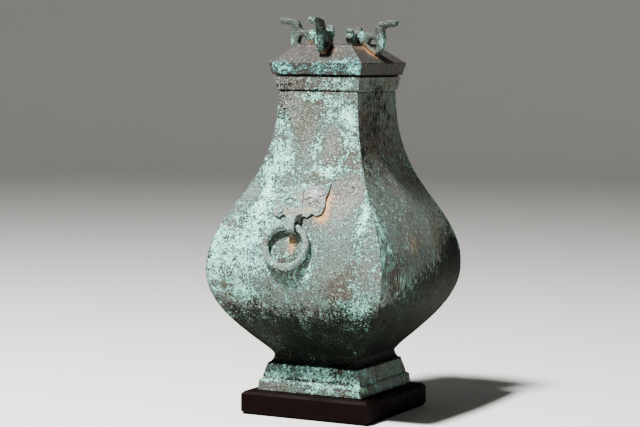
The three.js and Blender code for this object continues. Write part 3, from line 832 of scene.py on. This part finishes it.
def grainScatter():
    # small flattened grains, partly sunk in the wall, where the crust is thick
    tree, given = newTree("crustGrains", grainSizes)
    spot = put(tree, "GeometryNodeInputPosition")
    zones = put(tree, "GeometryNodeInputNamedAttribute", {"Name": "zones"}, data_type="FLOAT_COLOR")
    zone = put(tree, "FunctionNodeSeparateColor", {"Color": zones}).node.outputs
    relief = put(tree, "GeometryNodeInputNamedAttribute", {"Name": "relief"}, data_type="FLOAT")
    shares = [(-1.5, 1.0)]
    for size, detail, share in ((given["Patch size"], 6.0, 0.4), (given["Middle size"], 5.0, 0.5)):
        scale = put(tree, "ShaderNodeMath", {0: 1.0, 1: size}, operation="DIVIDE")
        wave = put(tree, "ShaderNodeTexNoise", {"Vector": spot, "Scale": scale, "Detail": detail,
                                                "Roughness": 0.6})
        shares.append((swing(tree, wave), share))
    hold = total(tree, *shares, (zone["Red"], 3.0), (zone["Blue"], -1.0))
    # none at the widest places, where a grain would reach past the jar's own size
    apart = put(tree, "ShaderNodeVectorMath", {0: spot}, operation="ABSOLUTE")
    apart = put(tree, "ShaderNodeSeparateXYZ", {"Vector": apart}).node.outputs
    widest = put(tree, "ShaderNodeMath", {0: apart["X"], 1: apart["Y"]}, operation="MAXIMUM")
    chosen = True
    for larger, smaller in ((hold, given["Level"]), (relief, 0.5), (given["Reach"], widest)):
        passed = put(tree, "FunctionNodeCompare", {"A": larger, "B": smaller}, data_type="FLOAT")
        chosen = put(tree, "FunctionNodeBooleanMath", {0: chosen, 1: passed}, operation="AND")
    spread = put(tree, "GeometryNodeDistributePointsOnFaces", {
        "Mesh": given["Geometry"], "Selection": chosen, "Density": given["Density"],
        "Seed": given["Seed"]}).node.outputs
    inward = total(tree, (given["Sunk"], -1.0))
    push = put(tree, "ShaderNodeVectorMath", {0: spread["Normal"], "Scale": inward}, operation="SCALE")
    seated = put(tree, "GeometryNodeSetPosition", {"Geometry": spread["Points"], "Offset": push})
    size = put(tree, "FunctionNodeRandomValue", {"Min": given["Least share"], "Max": 1.0,
                                                 "Seed": given["Seed"]}, data_type="FLOAT")
    tall = total(tree, (size, given["Flatness"]))
    scale = put(tree, "ShaderNodeCombineXYZ", {"X": size, "Y": size, "Z": tall})
    grain = put(tree, "GeometryNodeMeshIcoSphere", {"Radius": given["Radius"], "Subdivisions": 1})
    copies = put(tree, "GeometryNodeInstanceOnPoints", {"Points": seated, "Instance": grain, "Scale": scale,
                                                        "Rotation": spread["Rotation"]})
    return endTree(tree, copies, given["Material"])


def lumpMesh():
    # a knob of corrosion with an uneven skin
    knob = bmesh.new()
    bmesh.ops.create_icosphere(knob, subdivisions=4, radius=1.0)
    for corner in knob.verts:
        place = Vector(part * radius for part, radius in zip(corner.co, lump["radii"]))
        place += corner.co * lump["roughness"] * noise.noise(place / lump["grain"])
        corner.co = (place + Vector(lump["place"])) * mm
    mesh = meshFrom("footLump", knob)
    mesh.shade_smooth()
    return mesh


def crustPiece():
    grit = grown("crustGrit", vessel.data.copy(), grainScatter(), {
        "Radius": grains["radius"] * mm, "Least share": grains["least"], "Flatness": grains["flatness"],
        "Sunk": grains["sunk"] * mm, "Density": float(grains["perSquareMetre"]),
        "Patch size": vesselLook["patchSize"] * mm, "Middle size": vesselLook["middleSize"] * mm,
        "Level": grains["level"], "Reach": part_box("vessel")[1].x - grains["edge"] * mm,
        "Seed": grains["seed"], "Material": finishes["vessel"]})
    piece = joined("corrosion_crust", [grit.data, lumpMesh()])
    piece.data.materials.append(finishes["vessel"])
    bpy.data.objects.remove(grit)
    # painted shade: the grains take the jar's painted shade under the belly
    storeZones(piece, 0.8, 0.0, 0.8 * shadeOf(piece), 0.0)
    print("crust grains", len(piece.data.polygons), "faces")
    return piece


crust = crustPiece()
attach(crust, "jar")


# Seams of the mould along the jar's corners

sweepSizes = {"Radius": "Float", "Round pieces": "Int", "Wear": "Float", "Wear size": "Float",
              "Seed": "Float", "Material": "Material"}


def sweepAlong():
    # a bead of round section along every line of the start mesh, thinned by its thick attribute
    tree, given = newTree("beadSweep", sweepSizes)
    curve = put(tree, "GeometryNodeMeshToCurve", {"Mesh": given["Geometry"]})
    share = put(tree, "GeometryNodeInputNamedAttribute", {"Name": "thick"}, data_type="FLOAT")
    rod = put(tree, "GeometryNodeCurvePrimitiveCircle", {"Resolution": given["Round pieces"], "Radius": 1.0})
    bead = put(tree, "GeometryNodeCurveToMesh", {"Curve": curve, "Profile Curve": rod, "Fill Caps": True,
                                                 "Scale": total(tree, (share, given["Radius"]))})
    worn = sunk(tree, bead, given["Seed"], [(given["Wear"], given["Wear size"], 3.0, 0.5)])
    return endTree(tree, worn, given["Material"])


sweepTree = sweepAlong()


def swept(name, start, sizes, radius, seed, finish):
    return grown(name, start, sweepTree, {
        "Radius": radius * mm, "Round pieces": sizes["roundPieces"], "Wear": sizes["wear"] * mm,
        "Wear size": sizes["wearSize"] * mm, "Seed": seed, "Material": finish})


def tapered(line, sizes):
    # how thick a line is at each point: it starts at a share and is full after so many steps
    last = len(line) - 1
    return [min(1.0, sizes["endShare"] + min(place, last - place) / sizes["taperSteps"])
            for place in range(len(line))]


seam = {
    "radius": 1.0, "inset": 0.9, "pitch": 2.5, "lowSkip": 4, "highSkip": 2, "endShare": 0.3, "taperSteps": 12,
    "roundPieces": 7, "wear": 0.35, "wearSize": 4.0, "seed": 3.0,
}


def seamPiece():
    # one bead down each corner, sunk to its middle and tapering out at its ends
    line = np.array(spaced(list(fineBody[seam["lowSkip"]:-seam["highSkip"]]), seam["pitch"]))
    turns = [Matrix.Rotation(side * math.pi / 2, 3, "Z") for side in range(4)]
    lines = [[turn @ Vector((half - seam["inset"], seam["inset"] - half, z)) for half, z in line]
             for turn in turns]
    start = lineMesh("cornerLines", lines, thick=tapered(line, seam) * len(turns))
    return swept("corner_seams", start, seam, seam["radius"], seam["seed"], finishes["vessel"])


seams = seamPiece()
# painted shade: the seams take the jar's painted shade under the belly
storeZones(seams, 0.55, 0.0, shadeOf(seams), 0.0)
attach(seams, "jar")
print("corner seams are made")


# Rings

ring = {
    "halfWidth": 24.6, "halfDrop": 22.8, "rod": 4.2, "shrink": 0.12, "eyeRise": 53.5, "eyeStandOff": 8.3,
    "strapWidth": 11.5, "rubbed": 0.06, "roundPieces": 18, "lengthPieces": 120,
    "wear": 0.28, "wearSize": 3.2, "seed": 5.0,
    "mostAngle": 60, "angleStep": 0.25, "clearOfEye": 0.6, "turnStep": 0.05,   # of the search for its rest
}
eyeZ = bellyZ + ring["eyeRise"]
eyeY = wallAt(fineBody, eyeZ) + ring["eyeStandOff"]
jarSides = {"front": {"turn": 0, "slid": -5}, "back": {"turn": 180, "slid": 1.5}}


def ringLift(slid):
    return ring["halfDrop"] * (ring["strapWidth"] / 2 + abs(slid)) ** 2 / (4 * ring["halfWidth"] ** 2)


def restAngle(slid):
    # the angle at which a hanging ring comes to rest against the wall below its eye
    for degrees in np.arange(0, ring["mostAngle"], ring["angleStep"]):
        angle = math.radians(degrees)
        nearest = math.inf
        for turn in np.arange(ring["clearOfEye"], math.tau - ring["clearOfEye"], ring["turnStep"]):
            below = ring["halfDrop"] * (1 - math.cos(turn)) - ringLift(slid)
            x = slid + ring["halfWidth"] * math.sin(turn)
            out, z = eyeY + below * math.sin(angle), eyeZ - below * math.cos(angle)
            wall = wallAt(coarseBody, z, x)
            lean = math.atan(wallAt(coarseBody, z - 1, x) - wall)
            nearest = min(nearest, (out - wall) * math.cos(lean) - ring["rod"])
        if nearest >= gap:
            return angle
    return math.radians(ring["mostAngle"])


def addRing(side, turn, slid):
    angle = restAngle(slid)
    flatten = (ring["halfDrop"] + ring["rod"]) / (ring["halfWidth"] + ring["rod"])
    turns = np.linspace(0, math.tau, ring["lengthPieces"], endpoint=False)
    line = [(ring["halfWidth"] * math.sin(one), 0, ring["halfWidth"] * math.cos(one)) for one in turns]
    # the rod is thinner at the top, where it has rubbed in its eye
    thick = [1 - ring["rubbed"] * max(0.0, math.cos(one)) ** 6 for one in turns]
    start = lineMesh(side + "RingLine", [line], closed=True, thick=thick)
    piece = swept(side + "_pull_ring", start, ring, ring["rod"] - ring["shrink"], ring["seed"] + turn / 90,
                  finishes["ring"])
    place = Matrix.Rotation(math.radians(turn), 4, "Z")
    place @= Matrix.Translation(Vector((slid, -eyeY, eyeZ)) * mm)
    place @= Matrix.Rotation(-angle, 4, "X")
    place @= Matrix.Translation(Vector((0, 0, ringLift(slid) - ring["halfDrop"])) * mm)
    place @= Matrix.Diagonal((1, 1, flatten, 1))
    piece.data.transform(place)
    storeZones(piece, 0.5, 0.0, 0.0, 0.0)
    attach(piece, side + "_ring")
    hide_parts(side + "_ring")


for side, hung in jarSides.items():
    addRing(side, **hung)
print("rings are made")


# Masks with their nose loops

bead = {"roundPieces": 6, "wear": 0.12, "wearSize": 2.0, "seed": 7.0, "endShare": 0.45, "taperSteps": 5}


def remeshed(name, solids, sizes, finish):
    # joins overlapping closed meshes into one skin, a little softened
    piece = joined(name, solids, mergeWithin=0.000001)
    skin = piece.modifiers.new("skin", "REMESH")
    skin.mode, skin.voxel_size, skin.use_smooth_shade = "VOXEL", sizes["voxel"] * mm, True
    soft = piece.modifiers.new("soft", "SMOOTH")
    soft.factor, soft.iterations = 0.5, sizes["passes"]
    piece.data = evaluated(piece)
    piece.modifiers.clear()
    piece.data.materials.clear()
    piece.data.materials.append(finish)
    return piece


def beads(lines, place, radius):
    # raised lines of round section, each a list of points in millimetres in the frame of place
    start = lineMesh("beadLines", lines, thick=[share for line in lines for share in tapered(line, bead)])
    start.transform(place)
    made = swept("beads", start, bead, radius, bead["seed"], finishes["mask"])
    mesh = made.data
    bpy.data.objects.remove(made)
    return mesh


def spiral(centre, radius, start, turns, height=0.0, shrink=0.75, stepsPerTurn=26):
    # a flat scroll that winds inwards from an angle in degrees
    steps = max(8, round(abs(turns) * stepsPerTurn))
    line = []
    for step in range(steps + 1):
        share = step / steps
        angle = math.radians(start + 360 * turns * share)
        reach = radius * (1 - shrink * share)
        line.append((centre[0] + reach * math.cos(angle), centre[1] + reach * math.sin(angle), height))
    return line


mask = {
    "halfWidth": 32.8, "height": 42.5, "rise": 7.8, "tilt": 4.5, "plate": 2.1, "faceLift": 0.15,
    "leanSpan": 0.88, "bead": 0.75, "fineBead": 0.5, "voxel": 0.42, "passes": 2, "curveSteps": 14,
    # places below are shares of the half width and of the height
    "nose": [(0.3, 1.15), (0.84, 0.6)],    # how high, and millimetres off the plate
    # horn, cheek and jaw, each with a radius, a start angle, turns and a lift
    "scrolls": [((0.7, 0.72), 4.9, 160, -1.6, 0.3), ((0.68, 0.27), 4.6, 120, -1.5, 0.3),
                ((0.33, 0.17), 3.0, 40, 1.2, 0.0)],
    # brows, eye, lip, rim of the cheek and ear, top edge and two whiskers
    "curves": [
        [(0.1, 0.62), (0.28, 0.8), (0.5, 0.68), (0.6, 0.5)],
        [(0.12, 0.74), (0.3, 0.9), (0.52, 0.84), (0.56, 0.76)],
        [(0.13, 0.46), (0.25, 0.3), (0.5, 0.28), (0.58, 0.44)],
        [(0.2, 0.12), (0.3, 0.02), (0.5, 0.18), (0.62, 0.1)],
        [(0.62, 0.1), (0.8, 0.08), (0.92, 0.26), (0.86, 0.44)],
        [(0.86, 0.46), (0.86, 0.6), (0.94, 0.76), (0.93, 0.92)],
        [(0.93, 0.92), (0.76, 0.85), (0.5, 0.84), (0.3, 0.88)],
        [(0.66, 0.47), (0.72, 0.52), (0.78, 0.52), (0.84, 0.49)],
        [(0.66, 0.41), (0.72, 0.45), (0.78, 0.45), (0.84, 0.42)],
    ],
}


def maskLines(side):
    # the raised lines of one half of the face, in millimetres across and up its plate
    wide, tall, face = side * mask["halfWidth"], mask["height"], mask["plate"] + mask["faceLift"]
    lines = [spiral((across * wide, up * tall), radius, start if side > 0 else 180 - start, turns * side,
                    face + lift) for (across, up), radius, start, turns, lift in mask["scrolls"]]
    for corners in mask["curves"]:
        corners = [(across * wide, up * tall, face) for across, up in corners]
        lines.append([tuple(point) for point in bezier(corners, mask["curveSteps"])])
    return lines


def maskFrame(turn):
    # the mask's own plane leans with the wall behind it and hangs a little askew
    low = bellyZ + ring["eyeRise"] + mask["rise"]
    span = mask["leanSpan"] * mask["height"]
    foot = wallAt(coarseBody, low)
    lean = math.atan2(foot - wallAt(coarseBody, low + span), span)
    place = Matrix.Rotation(math.radians(turn), 4, "Z")
    place @= Matrix.Translation(Vector((0, -foot, low)) * mm)
    place @= Matrix.Rotation(math.pi / 2 - lean, 4, "X")
    return place @ Matrix.Rotation(math.radians(mask["tilt"]), 4, "Z")


maskStrokes = {
    "front": {
        "crust": [(-14, 262, 16, 9, 0.45), (-20, 243, 14, 8, 0.3), (26, 262, 9, 5, 0.4),
                  (-5, 218, 9, 6, 0.3)],
        "bare": [(8, 246, 12, 12, 0.35)],
        "soil": [(-12, 230, 9, 6, 0.5), (10, 233, 12, 5, 0.5)],
        # painted shade: darkens the bottom of the nose loop, where the ring hangs in it
        "dark": [(-2, 206, 9, 6, 0.8)],
    },
    "back": {
        "crust": [(10, 250, 16, 10, 0.4)],
        "soil": [(-14, 232, 9, 6, 0.4)],
    },
}

for side, hung in jarSides.items():
    place = maskFrame(hung["turn"])
    nose = [(0, up * mask["height"], mask["plate"] + lift) for up, lift in mask["nose"]]
    solids = [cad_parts[side + "_mask"].data, beads(maskLines(-1) + maskLines(1), place, mask["bead"]),
              beads([nose], place, mask["fineBead"])]
    piece = remeshed(side + "_mask_plate", solids, mask, finishes["mask"])
    paintZones(piece, {side: maskStrokes[side]})
    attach(piece, "jar")
    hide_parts(side + "_mask")
    print(side, "mask", len(piece.data.polygons), "faces")


# Beasts on the lid

beast = {
    "height": 28.4, "thickness": 8.4, "voxel": 0.38, "passes": 22, "swell": 0.35, "margin": 0.5,
    "bead": 0.62, "faceLift": 0.1,
    # places are shares of the height, out along the lid and up
    "eye": (-0.1, 0.4), "eyeRadius": 2.3, "eyeBall": (1.3, 1.3, 1.3),
    "brow": (-0.12, 0.47), "browRadii": (2.6, 4.6, 2.0), "knob": (1.22, 0.87), "knobRadii": (4.6, 4.6, 3.9),
    "haunch": (0.35, 0.04), "haunchScroll": (0.36, 200, -0.62),    # radius share, start angle and turns
    "tail": [(0.62, 0.3), (0.62, 0.62), (0.7, 0.84), (1.1, 0.87)], "tailSteps": 16,
    # patches of crust on head, chest and tail tip: middle, spread and strength
    "crust": 0.42,
    "patches": [((-0.1, 0.4), (0.16, 0.2), 0.4), ((0.8, 0.1), (0.14, 0.3), 0.3),
                ((1.3, 0.9), (0.2, 0.2), 0.1)],
    "loamDepth": 6.5, "loamReach": 0.55, "loam": 0.8, "darkFrom": 0.55, "dark": 0.2,
}
beastPlaces = {
    "right": {"turn": 0, "sideways": 0, "raised": 0},
    "back": {"turn": 90, "sideways": 0, "raised": 0, "tailed": False},
    "left": {"turn": 180, "sideways": 0, "raised": 2.8},
    "front": {"turn": -90, "sideways": 4.2, "raised": 2.2},
}


def beastBall(place, spot, side, radii):
    # a rounded boss, its place as shares of the beast's height and of its half thickness
    out, up = spot
    middle = Vector((out * beast["height"], side * beast["thickness"] / 2, up * beast["height"]))
    ball = bmesh.new()
    bmesh.ops.create_icosphere(ball, subdivisions=3, radius=1.0)
    for corner in ball.verts:
        corner.co = place @ ((Vector(part * radius for part, radius in zip(corner.co, radii)) + middle) * mm)
    return meshFrom("boss", ball)


def beastLines(tailed):
    # an eye, a haunch scroll and a line up the tail on both cheeks
    tall, face = beast["height"], beast["thickness"] / 2 + beast["faceLift"]
    eye, haunch, *tail = ((out * tall, up * tall)
                          for out, up in (beast["eye"], beast["haunch"], *beast["tail"]))
    radius, start, turns = beast["haunchScroll"]
    drawn = [spiral(eye, beast["eyeRadius"], 0, 1, shrink=0),
             spiral(haunch, radius * tall, start, turns, shrink=0.05)]
    if tailed:
        drawn.append(bezier(tail, beast["tailSteps"]))
    return [[(point[0], side * face, point[1]) for point in line] for side in (-1, 1) for line in drawn]


def addBeast(name, turn, sideways, raised, tailed=True):
    place = Matrix.Rotation(math.radians(turn), 4, "Z")
    place @= Matrix.Translation(Vector((lid["plateHalf"], sideways, slopeTop + raised)) * mm)
    solids = [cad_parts["finial_" + name].data, beads(beastLines(tailed), place, beast["bead"])]
    solids += [beastBall(place, beast["eye"], side, beast["eyeBall"]) for side in (-1, 1)]
    solids.append(beastBall(place, beast["brow"], 0, beast["browRadii"]))
    if tailed:
        solids.append(beastBall(place, beast["knob"], 0, beast["knobRadii"]))
    piece = remeshed(name + "_lid_beast", solids, beast, finishes["beast"])
    # smoothing has rounded and thinned the casting, so it swells back, under the real top of the jar
    swollen = vectors(piece.data) + vectors(piece.data, "normal") * beast["swell"] * mm
    low, high = (np.array(corner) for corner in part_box("finial_" + name))
    margin = beast["margin"] * mm
    swollen = np.clip(swollen, low - margin, high + (margin, margin, 0))
    piece.data.vertices.foreach_set("co", swollen.ravel())
    local = np.array([place.inverted() @ Vector(point) for point in vectors(piece.data)]) / mm
    out, up = local[:, 0] / beast["height"], local[:, 2] / beast["height"]
    crust = beast["crust"]
    for (middle, height), (width, tall), strength in beast["patches"]:
        crust = crust + strength * np.exp(-((out - middle) / width) ** 2 - ((up - height) / tall) ** 2)
    overLid = local[:, 2] + np.maximum(0, local[:, 0]) * lidSlope
    loam = np.clip(1.1 - overLid / beast["loamDepth"], 0, 1) * (out < beast["loamReach"])
    storeZones(piece, crust, beast["loam"] * loam, beast["dark"] * (up > beast["darkFrom"]), 0.0)
    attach(piece, "jar")
    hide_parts("finial_" + name)
    print(name, "beast", len(piece.data.polygons), "faces")


for name, placed in beastPlaces.items():
    addBeast(name, **placed)
